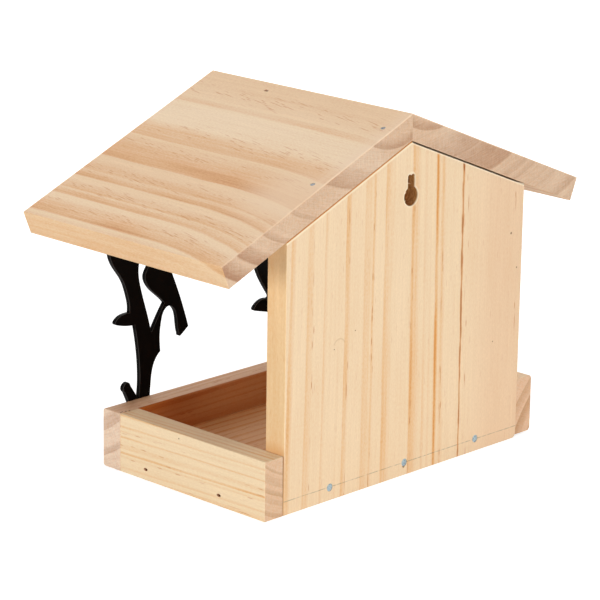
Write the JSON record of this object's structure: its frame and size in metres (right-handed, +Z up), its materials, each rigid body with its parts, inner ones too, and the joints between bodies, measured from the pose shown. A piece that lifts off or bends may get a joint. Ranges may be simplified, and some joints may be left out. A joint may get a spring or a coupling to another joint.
{
  "type": "wall bird table",
  "caption": "Pine bird table for a wall: open feeding tray with raised edges under a pitched roof, keyhole slot in the back panel, black bird-and-branch cut-outs on the front board.",
  "frame": {"origin": "centre of the keyhole's round entry, on the back panel's face that lies against the wall", "axes": "+Y into the wall, +Z up, +X to the right as seen from the front"},
  "size_m": [0.2458, 0.133, 0.1768],
  "materials": {
    "pine": "planed, untreated",
    "black_coat": "satin black powder coat on sheet steel",
    "zinc": "bright zinc plate",
    "steel": "plain steel wire",
    "black_screw": "black oxide"
  },
  "bodies": {
    "root": {"back_panel": "pine", "tray_side_right": "pine", "tray_side_left": "pine", "tray_front": "pine", "tray_floor": "pine", "roof_board_right": "pine", "roof_board_left": "pine", "cut_out_right": "black_coat", "cut_out_left": "black_coat", "back_panel_nails": "zinc", "roof_pins": "zinc", "ridge_brads": "steel", "side_brads": "steel", "front_brads": "steel", "cut_out_screws": "black_screw"}
  },
  "joints": []
}
